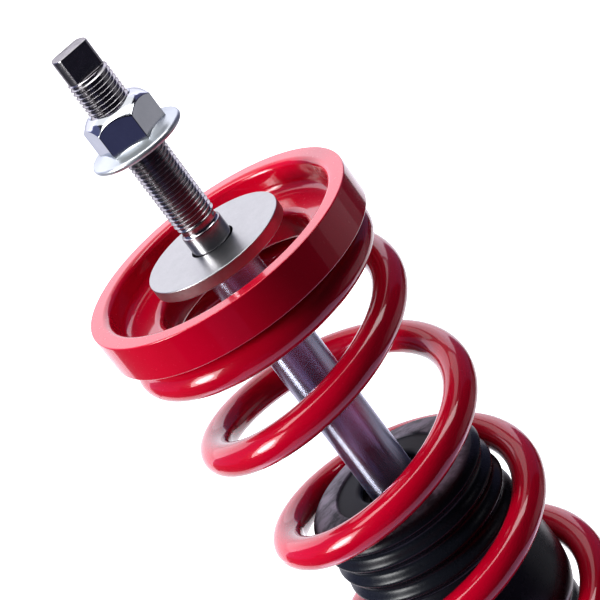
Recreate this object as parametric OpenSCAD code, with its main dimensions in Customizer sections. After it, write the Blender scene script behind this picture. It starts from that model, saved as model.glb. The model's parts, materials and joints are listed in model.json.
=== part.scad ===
// Strut coilover: piston rod and stud, spring between a red upper seat and a threaded lower seat,
// twin-tube damper with its internals, rubber boot, and a two-bolt knuckle bracket.
// Millimetres. +Z runs along the strut axis to the stud. The origin is on that axis, at the washer's
// top face, where the vehicle's top mount sits. The knuckle bracket's ears point along +X.

/* [Stud and rod] */
// Diameter of the piston rod
rod_d = 18; // [18:0.5:19]
// Major diameter of the stud's thread
stud_d = 14; // [12:0.5:14]
// Length of the stud from the washer's top face to the drive flats
stud_len = 66.5; // [60:0.5:90]
// Length of the drive flats at the stud's tip
drive_len = 9; // [6:0.5:12]
// Diameter round the drive flats
drive_d = 12.7; // [10:0.1:13]
// Width across the drive flats
drive_af = 7.8; // [6:0.1:9]
// Angle of the drive flats about the rod
drive_turn = 17; // [0:1:180]

/* [Washer and nut] */
// Outer diameter of the stop washer
washer_d = 47.7; // [40:0.1:50]
// Thickness of the stop washer
washer_t = 4.2; // [3:0.1:6]
// Bore of the stop washer
washer_bore = 15.1; // [14.5:0.1:16]
// Width across the nut's flats
nut_af = 21; // [19:0.5:22]
// Overall height of the flange nut
nut_h = 15.3; // [14:0.1:18]
// Diameter of the nut's flange
nut_flange_d = 31.9; // [28:0.1:34]
// Height of the nut's underside above the washer
nut_level = 39.3; // [1:0.1:45]
// Angle of the nut's corners about the rod
nut_turn = 45.3; // [0:0.1:60]

/* [Upper spring seat] */
// Outer diameter of both spring seats
seat_d = 94.9; // [92:0.1:100]
// How far the seat's rim lies below the washer's top face
seat_drop = 1.5; // [0:0.1:4]
// Height of the seat's outer wall
seat_wall_h = 13.3; // [12:0.1:16]
// Width of the flat rim on top of the wall
rim_w = 6.8; // [5:0.1:8]
// Depth of the inner ledge below the rim
ledge_depth = 10; // [8:0.1:11]
// Bore through the seat's hub
hub_bore_d = 54.8; // [50:0.1:56]
// Diameter of the hub that centres the spring
hub_d = 66; // [62:0.1:66.4]
// Depth of the hub below the rim
hub_depth = 21; // [18:0.1:22]

/* [Coil spring] */
// Mean diameter of the coils
coil_d = 78.7; // [78.5:0.1:80]
// Diameter of the spring wire
wire_d = 11.2; // [10:0.1:11.5]
// Pitch of the closed end coils
end_pitch = 6; // [4:0.5:8]
// Pitch of the first open coil
pitch_top = 41.3; // [38:0.1:42]
// Pitch of the last open coil
pitch_bottom = 45.4; // [42:0.1:46]
// Number of open turns between the end coils
open_turns = 4; // [3:0.5:4]
// Angle at which the wire starts under the upper seat
wire_start = 79.9; // [0:0.1:360]

/* [Lower seat and collars] */
// Thickness of the lower seat's flange
lower_flange_t = 4.5; // [4:0.1:6]
// Height of the boss under the lower seat
lower_boss_h = 6; // [4:0.5:8]
// Outer diameter of the adjusting collar and the lock ring
collar_d = 73; // [68:0.5:76]
// Height of the adjusting collar
collar_h = 16; // [14:0.5:18]
// Height of the lock ring
lock_h = 10; // [8:0.5:12]
// Number of spanner slots in each ring
slots = 6; // [4:1:8]

/* [Strut tube] */
// Major diameter of the thread on the tube
thread_d = 52; // [51.5:0.1:52]
// Diameter of the plain tube
tube_d = 50.8; // [50.4:0.1:51]
// Inner diameter of the tube
tube_bore = 44.8; // [44.8:0.1:45]
// Depth of the tube's open top below the washer's top face
tube_top = 134; // [132:0.5:136]
// Depth of the thread's top end
thread_top = 194; // [192:0.5:198]
// Depth of the thread's lower end
thread_end = 296; // [290:0.5:298]
// Depth of the tube's closed lower end
tube_end = 382; // [382:0.5:390]

/* [Damper] */
// Bore of the inner pressure tube
bore_d = 35; // [35:0.1:35.2]
// Wall thickness of the inner tube
inner_wall = 1.5; // [1.4:0.1:1.6]
// Depth of the piston's top face
piston_level = 214; // [212:0.5:216]
// Height of the piston
piston_h = 18; // [16:0.5:20]
// Number of oil passages in the piston
passages = 6; // [4:1:8]

/* [Boot] */
// Diameter over the boot's folds
boot_d = 64.2; // [62:0.1:66]
// Diameter of the boot's smooth skirt
skirt_d = 66; // [64:0.1:66.4]
// Depth of the boot's top face
boot_top = 102; // [101:0.5:103]
// Hole round the rod in the boot's top
boot_hole_d = 23; // [21:0.5:26]
// Distance between folds
fold_pitch = 7.15; // [7:0.05:7.3]
// Number of folds
folds = 4; // [3:1:4]

/* [Knuckle bracket] */
// Depth of the bracket's top edge
bracket_top = 300; // [298:0.5:304]
// Thickness of the bracket plate
plate_t = 6; // [5:0.5:7]
// Gap between the ears, which takes the knuckle
ear_gap = 42; // [38:0.5:44]
// Distance of the knuckle bolts from the strut axis
bolt_x = 54; // [52:0.5:58]
// Diameter of the knuckle bolt holes
bolt_hole_d = 14.5; // [12.5:0.1:16.5]
// Distance between the knuckle bolts
bolt_spacing = 56; // [52:0.5:60]
// Corner radius of the ears round the bolts
ear_r = 14; // [13:0.5:15]

/* [Tabs] */
// Hole for the stabiliser link
link_hole_d = 12.2; // [10:0.1:12.5]
// Distance of the link hole from the strut axis
link_x = 47; // [45:0.5:50]
// Hole for the brake hose grommet
hose_hole_d = 14; // [12:0.5:15]
// Distance of the hose hole from the strut axis
hose_y = 50; // [48:0.5:52]

/* [Hidden] */
$fn = 96;

red = "#b3001e";
black = "#17171a";
steel = "#a9abb0";
zinc = "#c9ced6";
eps = 0.01;

// Spring: pitch changes linearly between these knots, which count turns from the wire's top end.
end_turns = 0.6;
ramp_turns = 0.6;
ground = 0.75;
k1 = end_turns;
k2 = k1 + ramp_turns;
k3 = k2 + open_turns;
k4 = k3 + ramp_turns;
turns = k4 + end_turns;
knots = [[0, end_pitch], [k1, end_pitch], [k2, pitch_top], [k3, pitch_bottom], [k4, end_pitch],
    [turns, end_pitch]];
wire_rings_per_turn = 24;
wire_sides = 12;
tip_offset = wire_d / 2 - ground;
spring_top = -seat_drop - seat_wall_h;
spring_len = drop(turns) + 2 * tip_offset;
lower_plane = spring_top - spring_len;

// Levels of the adjustable pieces
boss_bottom = lower_plane - lower_flange_t - lower_boss_h;
collar_bottom = boss_bottom - collar_h;
lower_hub_h = 7;
guide_clearance = 0.3;
thread_clearance = 0.05;

// Levels inside the damper
rod_step = -washer_t;
piston_spigot_d = 12;
shim_t = 0.4;
shim_count = 4;
nut_below = 10;
guide_level = -155;
guide_h = 9;
guide_spigot = 8;
inner_end = -366;
valve_h = 14;
valve_foot = 6;
base_top = inner_end - valve_foot;
valve_top = base_top + valve_h;
rivet_d = 6;
disc_t = 0.6;
running = 0.05;
bumper_level = -190;
bumper_h = 6;
stop_h = 6;

// Levels of the bracket and of its two bolts
bracket_end = -bracket_top - bolt_spacing - 2 * ear_r;
bracket_h = -bracket_top - bracket_end;
bolt_upper = -bracket_top - ear_r;
bolt_lower = bolt_upper - bolt_spacing;
wrap_r = tube_d / 2 + plate_t;
wrap_opens_at = 14;

// Tabs welded to the bracket's wrap
link_level = -bracket_top - 28;
link_tab_r = 12;
link_tab_t = 6;
hose_level = -bracket_top - 46;
hose_plate_t = 3;
hose_plate_r = 11;
hose_flange_h = 19;

function pitch_at(u) = lookup(u, knots);
// Height lost by the wire's centre line after u turns: the area under the pitch line
function drop(u, i = 0) =
    (i >= len(knots) - 1 || u <= knots[i][0]) ? 0 :
    let (a = knots[i], b = knots[i + 1], e = min(u, b[0]))
    (a[1] + pitch_at(e)) / 2 * (e - a[0]) + drop(u, i + 1);
function arc(c, r, a0, a1, n = 8) =
    [for (i = [0:n]) c + r * [cos(a0 + (a1 - a0) * i / n), sin(a0 + (a1 - a0) * i / n)]];

// A solid of revolution about the strut axis from [radius, height] points
module turned(points) rotate_extrude() polygon(points);

// A plain ring between two heights
module ring(r_out, r_in, low, high)
    translate([0, 0, low]) difference() {
        cylinder(h = high - low, r = r_out);
        translate([0, 0, -1]) cylinder(h = high - low + 2, r = r_in);
    }

module piston_rod() color(steel) difference() {
    tip = stud_len + drive_len;
    spigot_end = -piston_level - piston_h - nut_below - 4;
    spigot_top = -piston_level + shim_t * shim_count;
    turned([[0, spigot_end], [piston_spigot_d / 2, spigot_end], [piston_spigot_d / 2, spigot_top],
        [rod_d / 2, spigot_top], [rod_d / 2, rod_step], [stud_d / 2, rod_step],
        [stud_d / 2, stud_len - 1], [drive_d / 2, stud_len], [drive_d / 2, tip - 0.6],
        [drive_d / 2 - 0.7, tip], [0, tip]]);
    for (side = [0, 180]) rotate(drive_turn + side)
        translate([-drive_d, drive_af / 2, stud_len]) cube([2 * drive_d, drive_d, drive_len + 1]);
}

module stop_washer() color(zinc)
    turned([[washer_bore / 2, -washer_t], [washer_d / 2 - 0.3, -washer_t],
        [washer_d / 2, -washer_t + 0.3], [washer_d / 2, -0.3], [washer_d / 2 - 0.3, 0],
        [washer_bore / 2, 0]]);

module flange_nut() color(zinc) translate([0, 0, nut_level]) rotate(nut_turn) difference() {
    flange_r = nut_flange_d / 2;
    corner_r = nut_af / 2 / cos(30);
    union() {
        turned(concat([[0, 0], [flange_r - 0.7, 0]], arc([flange_r - 0.9, 0.9], 0.9, -60, 70),
            [[nut_af / 2 - 0.5, 3.6], [0, 3.6]]));
        intersection() {
            cylinder(h = nut_h, r = corner_r, $fn = 6);
            turned([[0, 0], [corner_r + 1, 0], [corner_r + 1, nut_h - 4.3 - 1.1],
                [nut_af / 2 - 1.6, nut_h], [0, nut_h]]);
        }
    }
    translate([0, 0, -1]) cylinder(h = nut_h + 2, d = stud_d + 0.1);
    translate([0, 0, -eps]) cylinder(h = 0.8, r1 = stud_d / 2 + 0.8, r2 = stud_d / 2);
    translate([0, 0, nut_h - 0.8 + eps]) cylinder(h = 0.8, r1 = stud_d / 2, r2 = stud_d / 2 + 0.8);
}

module rebound_bumper() color("#3d3a38")
    ring(rod_d / 2 + 4, rod_d / 2, bumper_level - bumper_h, bumper_level);

module rebound_stop() color(steel)
    ring(rod_d / 2 + 5, rod_d / 2, bumper_level - bumper_h - stop_h, bumper_level - bumper_h);

module shim_stack(top, grows_down) {
    for (i = [0:shim_count - 1]) {
        r = 14.5 - 2 * (grows_down ? shim_count - 1 - i : i);
        ring(r, piston_spigot_d / 2, top - (i + 1) * shim_t, top - i * shim_t);
    }
}

module compression_shims() color("silver") shim_stack(-piston_level + shim_count * shim_t, true);
module rebound_shims() color("silver") shim_stack(-piston_level - piston_h, false);

module damper_piston() color("#5c5a58") translate([0, 0, -piston_level - piston_h]) difference() {
    r = bore_d / 2 - 0.25;
    turned([[piston_spigot_d / 2, 0], [r, 0], [r, piston_h / 2 - 4], [r - 1.4, piston_h / 2 - 4],
        [r - 1.4, piston_h / 2 + 4], [r, piston_h / 2 + 4], [r, piston_h],
        [piston_spigot_d / 2, piston_h]]);
    for (i = [0:passages - 1]) rotate(i * 360 / passages) translate([11.5, 0, -1])
        cylinder(h = piston_h + 2, d = 3.2, $fn = 24);
}

module piston_band() color("#d8cfae")
    ring(bore_d / 2 - 0.05, bore_d / 2 - 1.65, -piston_level - piston_h / 2 - 4,
        -piston_level - piston_h / 2 + 4);

module piston_nut() color(steel) {
    top = -piston_level - piston_h - shim_count * shim_t;
    translate([0, 0, top - nut_below]) difference() {
        cylinder(h = nut_below, r = 10.4, $fn = 6);
        translate([0, 0, -1]) cylinder(h = nut_below + 2, d = piston_spigot_d);
    }
}

module upper_spring_seat() color(red) translate([0, 0, -seat_drop]) {
    r = seat_d / 2;
    rim = r - rim_w;
    bore = hub_bore_d / 2;
    cove = 3.5;
    lip = 1.6;
    turned(concat(
        [[rim + 0.4, 0], [r - 0.6, 0], [r, -0.6], [r, -seat_wall_h + 0.8],
            [r - 0.8, -seat_wall_h], [hub_d / 2, -seat_wall_h], [hub_d / 2, -hub_depth + 1]],
        arc([bore + 2.2, -hub_depth + 1], 1, -60, -180, 4),
        [[bore, -hub_depth + 2]],
        arc([bore + lip, -ledge_depth - lip], lip, 180, 90, 5),
        arc([rim - cove, -ledge_depth + cove], cove, -90, 0, 6),
        [[rim, -0.4]]));
}

module coil_spring() color(red) translate([0, 0, spring_top]) intersection() {
    rings = ceil(turns * wire_rings_per_turn);
    points = [for (i = [0:rings]) let (u = turns * i / rings) each wire_ring(u)];
    sides = [for (i = [0:rings - 1], j = [0:wire_sides - 1])
        let (a = i * wire_sides + j, b = i * wire_sides + (j + 1) % wire_sides)
        [a, b, b + wire_sides, a + wire_sides]];
    first = [for (j = [wire_sides - 1:-1:0]) j];
    last = [for (j = [0:wire_sides - 1]) rings * wire_sides + j];
    polyhedron(points, concat([first], sides, [last]));
    translate([-coil_d, -coil_d, -spring_len + running]) cube([2 * coil_d, 2 * coil_d, spring_len - running]);
}

// One ring of points round the wire, square to its centre line
function wire_ring(u) = let (
    a = wire_start - 360 * u,
    lean = atan(pitch_at(u) / (PI * coil_d)),
    out = [cos(a), sin(a), 0],
    ahead = [sin(a), -cos(a), 0],
    up = [0, 0, cos(lean)] + sin(lean) * ahead,
    centre = coil_d / 2 * out + [0, 0, -tip_offset - drop(u)])
    [for (j = [0:wire_sides - 1]) let (b = 360 * j / wire_sides)
        centre + wire_d / 2 * (cos(b) * out + sin(b) * up)];

module lower_spring_seat() color(red) translate([0, 0, lower_plane]) {
    r = seat_d / 2;
    bore = thread_d / 2 + guide_clearance;
    turned([[bore, lower_hub_h], [hub_d / 2 - 1.5, lower_hub_h], [hub_d / 2 - 0.5, lower_hub_h - 1],
        [hub_d / 2 - 0.5, 0], [r - 0.8, 0], [r, -0.8], [r, -lower_flange_t + 1],
        [r - 1, -lower_flange_t], [collar_d / 2 + 2.5, -lower_flange_t],
        [collar_d / 2, -lower_flange_t - 2.5], [collar_d / 2, boss_bottom - lower_plane],
        [bore, boss_bottom - lower_plane]]);
}

// A ring on the strut thread with spanner slots round its edge
module slotted_ring(top, h) translate([0, 0, top - h]) difference() {
    r = collar_d / 2;
    bore = thread_d / 2 + thread_clearance;
    turned([[bore, 0], [r - 1.2, 0], [r, 1.2], [r, h - 1.2], [r - 1.2, h], [bore, h]]);
    for (i = [0:slots - 1]) rotate((i + 0.5) * 360 / slots) translate([r - 3.5, -3.5, -1])
        cube([8, 7, h + 2]);
}

module adjusting_collar() color("#c4c6ca") slotted_ring(boss_bottom, collar_h);
module lock_ring() color("#c4c6ca") slotted_ring(collar_bottom, lock_h);

module strut_tube() color(black) difference() {
    turned([[tube_bore / 2, -tube_end], [tube_d / 2, -tube_end], [tube_d / 2, -thread_end - 1],
        [thread_d / 2, -thread_end], [thread_d / 2, -thread_top], [tube_d / 2 - 0.4, -thread_top + 1],
        [tube_d / 2 - 0.4, -tube_top], [tube_bore / 2, -tube_top]]);
}

module base_cap() color(black)
    turned([[0, base_top], [tube_bore / 2, base_top], [tube_bore / 2, -tube_end + 1],
        [tube_bore / 2 - 4, -tube_end - 1.5], [0, -tube_end - 2]]);

module inner_tube() color(steel)
    ring(bore_d / 2 + inner_wall, bore_d / 2, inner_end, guide_level - guide_h);

module base_valve() color("#6d6a66") difference() {
    r = bore_d / 2;
    turned([[0, base_top + 2], [10, base_top + 2], [12, base_top], [r + inner_wall, base_top],
        [r + inner_wall, inner_end], [r, inner_end], [r, valve_top], [0, valve_top]]);
    translate([0, 0, base_top - 1]) cylinder(h = valve_h + 2, d = rivet_d);
    for (i = [0:5]) rotate(i * 60) {
        translate([11, 0, base_top - 1]) cylinder(h = valve_h + 2, d = 3, $fn = 24);
        translate([12, -2, base_top - 1]) cube([10, 4, 4]);
    }
}

module base_valve_disc() color("silver") ring(14, rivet_d / 2, valve_top, valve_top + disc_t);

module base_valve_rivet() color(steel) {
    shank_r = rivet_d / 2 - running;
    head = valve_top + disc_t + 0.02;
    turned([[0, base_top + 2], [shank_r, base_top + 2], [shank_r, head], [5, head], [4, head + 2.4],
        [0, head + 2.4]]);
}

module rod_guide() color("#8f8d89") {
    r = tube_bore / 2;
    bore = rod_d / 2 + 1.5;
    groove = guide_level - 3;
    turned([[bore, guide_level], [r, guide_level], [r, groove], [r - 2.6, groove],
        [r - 2.6, groove - 3], [r, groove - 3], [r, guide_level - guide_h],
        [bore_d / 2, guide_level - guide_h], [bore_d / 2, guide_level - guide_h - guide_spigot],
        [bore, guide_level - guide_h - guide_spigot]]);
}

module guide_bush() color("#7d5a36")
    ring(rod_d / 2 + 1.5, rod_d / 2 + running, guide_level - guide_h - guide_spigot + 1, guide_level - 1);

module rod_seal() color("#23211f")
    turned([[rod_d / 2 + running, guide_level], [tube_bore / 2, guide_level],
        [tube_bore / 2, guide_level + 7], [rod_d / 2 + 4, guide_level + 7],
        [rod_d / 2 + 3, guide_level + 4], [rod_d / 2 + running, guide_level + 5]]);

module gland_o_ring() color("#23211f") translate([0, 0, guide_level - 4.5])
    rotate_extrude() translate([tube_bore / 2 - 1.3, 0]) circle(r = 1.25, $fn = 32);

module gland_nut() color(steel) difference() {
    bore = rod_d / 2 + 1;
    turned([[bore, guide_level + 7], [tube_bore / 2, guide_level + 7], [tube_bore / 2, -tube_top],
        [tube_d / 2 - 0.8, -tube_top], [tube_d / 2 - 0.8, -tube_top + 4],
        [tube_d / 2 - 1.8, -tube_top + 5], [bore, -tube_top + 5]]);
    for (i = [0:3]) rotate(i * 90) translate([19, 0, -tube_top - 1])
        cylinder(h = 8, d = 4, $fn = 24);
}

module bump_stop() color("#d9c27a") {
    low = -tube_top + 5;
    high = -boot_top - 5;
    mid = (low + high) / 2;
    turned([[rod_d / 2 + 1.2, low], [21, low], [22, low + 3], [22, mid - 3], [18.5, mid], [21, mid + 3],
        [20.5, high - 3], [17, high], [rod_d / 2 + 1.2, high]]);
}

// Outline of the boot's outer surface, from its top face down to its lower lip
function boot_outside() = let (
    fold_r = boot_d / 2 - 1,
    first = -boot_top - 5,
    steps = 8,
    skirt = first - folds * fold_pitch + fold_pitch / 2)
    concat(
        [[boot_hole_d / 2, -boot_top - 1], [boot_hole_d / 2 + 1, -boot_top], [22, -boot_top],
            [27.5, -boot_top - 0.8]],
        arc([boot_d / 2 - 4, first], 4, 50, 0, 4),
        [for (i = [1:steps * (folds - 1) + steps / 2]) let (s = i / steps)
            [fold_r + cos(360 * s), first - s * fold_pitch]],
        [[fold_r - 0.6, skirt - 2], [skirt_d / 2 - 1, skirt - 7], [skirt_d / 2 - 0.2, skirt - 15],
            [skirt_d / 2, skirt - 22], [skirt_d / 2 - 0.2, skirt - 28], [skirt_d / 2 - 1.6, skirt - 34],
            [skirt_d / 2 - 3.8, skirt - 39], [skirt_d / 2 - 4.5, skirt - 41],
            [skirt_d / 2 - 3.4, skirt - 44], [skirt_d / 2 - 3.7, skirt - 49],
            [skirt_d / 2 - 5.4, skirt - 54], [tube_d / 2 + 1.4, skirt - 55]]);

module dust_boot() color(black) {
    low = boot_outside()[len(boot_outside()) - 1][1];
    inside = [[tube_d / 2 - 0.4, low], [tube_d / 2 - 0.4, low + 12], [28, low + 18], [28, -boot_top - 9],
        [24, -boot_top - 5], [boot_hole_d / 2 + 1, -boot_top - 5], [boot_hole_d / 2, -boot_top - 4]];
    turned(concat(boot_outside(), inside));
}

// Outline of one ear in the XZ plane, with round corners about the two bolts
module ear_outline() {
    translate([0, bracket_end]) square([bolt_x, bracket_h]);
    translate([0, bolt_lower]) square([bolt_x + ear_r, bolt_spacing]);
    for (z = [bolt_upper, bolt_lower]) translate([bolt_x, z]) circle(r = ear_r);
}

module knuckle_bracket() color(black) difference() {
    union() {
        translate([0, 0, bracket_end]) difference() {
            cylinder(h = bracket_h, r = wrap_r);
            translate([wrap_opens_at, -wrap_r, -1]) cube([wrap_r, 2 * wrap_r, bracket_h + 2]);
        }
        for (side = [-1, 1]) translate([0, side * (ear_gap + plate_t) / 2 + plate_t / 2, 0])
            rotate([90, 0, 0]) linear_extrude(plate_t) ear_outline();
    }
    translate([0, 0, bracket_end - 1]) cylinder(h = bracket_h + 2, d = tube_d);
    for (z = [bolt_upper, bolt_lower]) translate([bolt_x, -ear_gap, z]) rotate([-90, 0, 0])
        cylinder(h = 2 * ear_gap, d = bolt_hole_d);
}

// Curved plate that closes the bracket round the tube, between the ears
module bracket_web() color(black) intersection() {
    ring(tube_d / 2 + 4, tube_d / 2, bracket_end + 4, -bracket_top - 4);
    translate([wrap_opens_at, -ear_gap / 2, bracket_end]) cube([tube_d, ear_gap, bracket_h]);
}

// The tube's bracket, as a solid that the tabs are cut to
module wrap_solid() translate([0, 0, bracket_end]) cylinder(h = bracket_h, r = wrap_r);

module link_tab() color(black) difference() {
    root_x = wrap_r - 4;
    translate([0, link_tab_t / 2, link_level]) rotate([90, 0, 0]) linear_extrude(link_tab_t) {
        translate([-link_x, 0]) circle(r = link_tab_r);
        translate([-link_x, -link_tab_r]) square([link_x - root_x, 2 * link_tab_r]);
    }
    wrap_solid();
    translate([-link_x, -link_tab_r, link_level]) rotate([-90, 0, 0])
        cylinder(h = 2 * link_tab_r, d = link_hole_d);
}

module hose_bracket() color(black) difference() {
    flange_y = wrap_r + 3;
    translate([0, 0, hose_level]) {
        linear_extrude(hose_plate_t) {
            translate([0, -hose_y]) circle(r = hose_plate_r);
            translate([-hose_plate_r, -hose_y]) square([2 * hose_plate_r, hose_y - wrap_r + 5]);
        }
        translate([-hose_plate_r, -flange_y, hose_plate_t - hose_flange_h])
            cube([2 * hose_plate_r, 10, hose_flange_h]);
    }
    wrap_solid();
    translate([0, -hose_y, hose_level - 1]) cylinder(h = hose_plate_t + 2, d = hose_hole_d);
}

piston_rod();
stop_washer();
flange_nut();
rebound_bumper();
rebound_stop();
compression_shims();
damper_piston();
piston_band();
rebound_shims();
piston_nut();
upper_spring_seat();
coil_spring();
lower_spring_seat();
adjusting_collar();
lock_ring();
strut_tube();
base_cap();
inner_tube();
base_valve();
base_valve_disc();
base_valve_rivet();
rod_guide();
guide_bush();
rod_seal();
gland_o_ring();
gland_nut();
bump_stop();
dust_boot();
knuckle_bracket();
bracket_web();
link_tab();
hose_bracket();
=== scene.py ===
import json
import math

import bmesh
import bpy
from mathutils import Matrix, Vector
from mathutils.geometry import delaunay_2d_cdt


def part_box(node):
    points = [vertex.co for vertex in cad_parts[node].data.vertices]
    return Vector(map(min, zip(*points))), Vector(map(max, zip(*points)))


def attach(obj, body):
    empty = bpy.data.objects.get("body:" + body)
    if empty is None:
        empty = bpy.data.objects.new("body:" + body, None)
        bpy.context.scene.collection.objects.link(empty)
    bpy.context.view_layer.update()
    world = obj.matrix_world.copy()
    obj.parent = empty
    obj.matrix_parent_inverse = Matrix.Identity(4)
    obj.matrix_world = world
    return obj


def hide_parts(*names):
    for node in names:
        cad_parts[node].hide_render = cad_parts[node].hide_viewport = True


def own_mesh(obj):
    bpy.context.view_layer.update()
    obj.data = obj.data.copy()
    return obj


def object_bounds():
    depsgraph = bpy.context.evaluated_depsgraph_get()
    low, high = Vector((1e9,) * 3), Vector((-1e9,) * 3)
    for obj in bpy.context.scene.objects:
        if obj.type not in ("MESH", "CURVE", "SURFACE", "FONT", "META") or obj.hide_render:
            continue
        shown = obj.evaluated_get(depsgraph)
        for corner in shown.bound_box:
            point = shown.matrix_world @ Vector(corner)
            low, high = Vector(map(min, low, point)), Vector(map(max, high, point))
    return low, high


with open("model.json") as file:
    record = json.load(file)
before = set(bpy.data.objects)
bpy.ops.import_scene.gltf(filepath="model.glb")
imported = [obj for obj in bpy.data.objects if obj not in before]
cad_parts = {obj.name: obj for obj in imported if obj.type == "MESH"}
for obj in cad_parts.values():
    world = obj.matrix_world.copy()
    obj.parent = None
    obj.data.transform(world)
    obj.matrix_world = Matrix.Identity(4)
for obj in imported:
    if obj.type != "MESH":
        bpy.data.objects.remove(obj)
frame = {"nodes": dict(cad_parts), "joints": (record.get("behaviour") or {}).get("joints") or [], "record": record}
cad_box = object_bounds()

# Lengths below are millimetres and angles are radians, in the frame of the CAD model.
MM = 0.001
TURN = 2 * math.pi


def extent(node):
    """Lowest and highest corner of a CAD node, in millimetres."""
    low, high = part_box(node)
    return low / MM, high / MM


def joint_range(name):
    """Lowest and highest place of a sliding joint, in metres."""
    return next(joint for joint in frame["joints"] if joint["name"] == name)["range_m"]


def levels(node):
    """Outer radius, lowest and highest level of a CAD node that is round about the strut axis."""
    low, high = extent(node)
    return (high.x - low.x) / 2, low.z, high.z


# ---------------------------------------------------------------- mesh tools


def turn_angles(steps, extra=()):
    """Even angles round one turn, with any extra angles sorted in between."""
    return sorted([TURN * i / steps for i in range(steps)] + [a % TURN for a in extra])


def ring(angles, radius, level):
    """A loop of points about the Z axis. Radius may be a function of the angle, and level of both."""
    points = []
    for a in angles:
        r = radius(a) if callable(radius) else radius
        z = level(a, r) if callable(level) else level
        points.append((r * math.cos(a), r * math.sin(a), z))
    return points


def skin(loops, closed=False):
    """Points and faces between neighbouring loops. A closed skin joins its last loop to its first."""
    count = len(loops[0])
    points = [p for loop in loops for p in loop]
    faces = []
    for k in range(len(loops) if closed else len(loops) - 1):
        a, b = k * count, (k + 1) % len(loops) * count
        for i in range(count):
            j = (i + 1) % count
            faces.append((a + i, a + j, b + j, b + i))
    return points, faces


def together(*meshes):
    """Several meshes as one."""
    points, faces = [], []
    for more_points, more_faces in meshes:
        start = len(points)
        points += more_points
        faces += [tuple(start + i for i in face) for face in more_faces]
    return points, faces


def rounded(corners, step=math.radians(15)):
    """A closed outline whose corners are (x, y) or (x, y, fillet radius)."""
    points = []
    for i, corner in enumerate(corners):
        here = Vector(corner[:2])
        fillet = corner[2] if len(corner) > 2 else 0
        if not fillet:
            points.append(here)
            continue
        a = (Vector(corners[i - 1][:2]) - here).normalized()
        b = (Vector(corners[(i + 1) % len(corners)][:2]) - here).normalized()
        half = a.angle(b) / 2
        centre = here + (a + b).normalized() * fillet / math.sin(half)
        start = here + a * fillet / math.tan(half) - centre
        end = here + b * fillet / math.tan(half) - centre
        sweep = math.copysign(math.pi - 2 * half, start.x * end.y - start.y * end.x)
        count = max(2, math.ceil(abs(sweep) / step))
        for k in range(count + 1):
            c, s = math.cos(sweep * k / count), math.sin(sweep * k / count)
            points.append(centre + Vector((start.x * c - start.y * s, start.x * s + start.y * c)))
    return points


def arc(centre, radius, start, end, count):
    """Points on an arc, with its angles in degrees."""
    angles = [math.radians(start + (end - start) * i / count) for i in range(count + 1)]
    return [(centre[0] + radius * math.cos(a), centre[1] + radius * math.sin(a)) for a in angles]


def revolve(outline, steps=192):
    """A closed outline of (radius, level) points turned about the Z axis."""
    angles = turn_angles(steps)
    return skin([ring(angles, max(r, 0), z) for r, z in outline], closed=True)


def solid(name, mesh_data, body, finish, stands_for=(), sharp=32):
    """Makes a piece from points in millimetres, which rides on a body and stands for CAD nodes."""
    points, faces = mesh_data
    mesh = bpy.data.meshes.new(name)
    work = bmesh.new()
    vertices = [work.verts.new(Vector(p) * MM) for p in points]
    for face in faces:
        if len(set(face)) == len(face):
            work.faces.new([vertices[i] for i in face])
    bmesh.ops.remove_doubles(work, verts=work.verts, dist=2e-6)
    bmesh.ops.dissolve_degenerate(work, edges=work.edges, dist=1e-6)
    bmesh.ops.delete(work, geom=[edge for edge in work.edges if edge.is_wire], context="EDGES")
    bmesh.ops.recalc_face_normals(work, faces=work.faces)
    work.to_mesh(mesh)
    work.free()
    mesh.shade_smooth()
    mesh.set_sharp_from_angle(angle=math.radians(sharp))
    piece = bpy.data.objects.new(name, mesh)
    bpy.context.scene.collection.objects.link(piece)
    even = piece.modifiers.new("even_normals", "WEIGHTED_NORMAL")
    even.keep_sharp = True
    even.weight = 100
    mesh.materials.append(finish)
    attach(piece, body)
    if stands_for:
        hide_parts(*stands_for)
    return piece


# One pitch of a thread's section, as (share of the pitch from the crest's middle, share of the depth).
THREAD_FORM = [(-0.42, 0.02), (-0.1, 0.88), (-0.045, 1), (0.045, 1), (0.1, 0.88), (0.42, 0.02), (0.5, 0)]


class Thread:
    """A right-hand thread between two levels, with a run-out at its foot and a chamfer at its top."""

    def __init__(self, low, high, pitch, crest, depth, run_out, chamfer):
        self.low, self.high, self.pitch, self.crest, self.depth = low, high, pitch, crest, depth
        self.run_out, self.chamfer = run_out, chamfer

    def radius(self, angle, level):
        """The thread's radius at a place on the helix."""
        phase = ((level - self.low) / self.pitch - angle / TURN + 0.5) % 1 - 0.5
        form = [(-0.5, 0)] + THREAD_FORM
        share = next(
            a[1] + (b[1] - a[1]) * (phase - a[0]) / (b[0] - a[0])
            for a, b in zip(form, form[1:])
            if phase <= b[0] + 1e-9
        )
        grown = min(1, max(0, (level - self.low) / self.run_out))
        radius = self.crest - self.depth * (1 - share * grown)
        return min(radius, self.crest - self.chamfer + max(0, self.high - level))

    def band(self, angles):
        """Rows of faces that follow the helix, cut off level at both ends."""
        turns = math.ceil((self.high - self.low) / self.pitch) + 2
        rows = [turn + offset for turn in range(-1, turns) for offset, _ in THREAD_FORM]
        points, faces = [], []
        for a in angles:
            for row in rows:
                z = min(self.high, max(self.low, self.low + self.pitch * (row + a / TURN)))
                r = self.radius(a, z)
                points.append((r * math.cos(a), r * math.sin(a), z))
        for i in range(len(angles)):
            j = (i + 1) % len(angles)
            shift = 0 if j else len(THREAD_FORM)
            for k in range(len(rows) - 1 - shift):
                a, b = i * len(rows) + k, j * len(rows) + k + shift
                faces.append((a, b, b + 1, a + 1))
        return points, faces


# ---------------------------------------------------------------- materials


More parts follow.
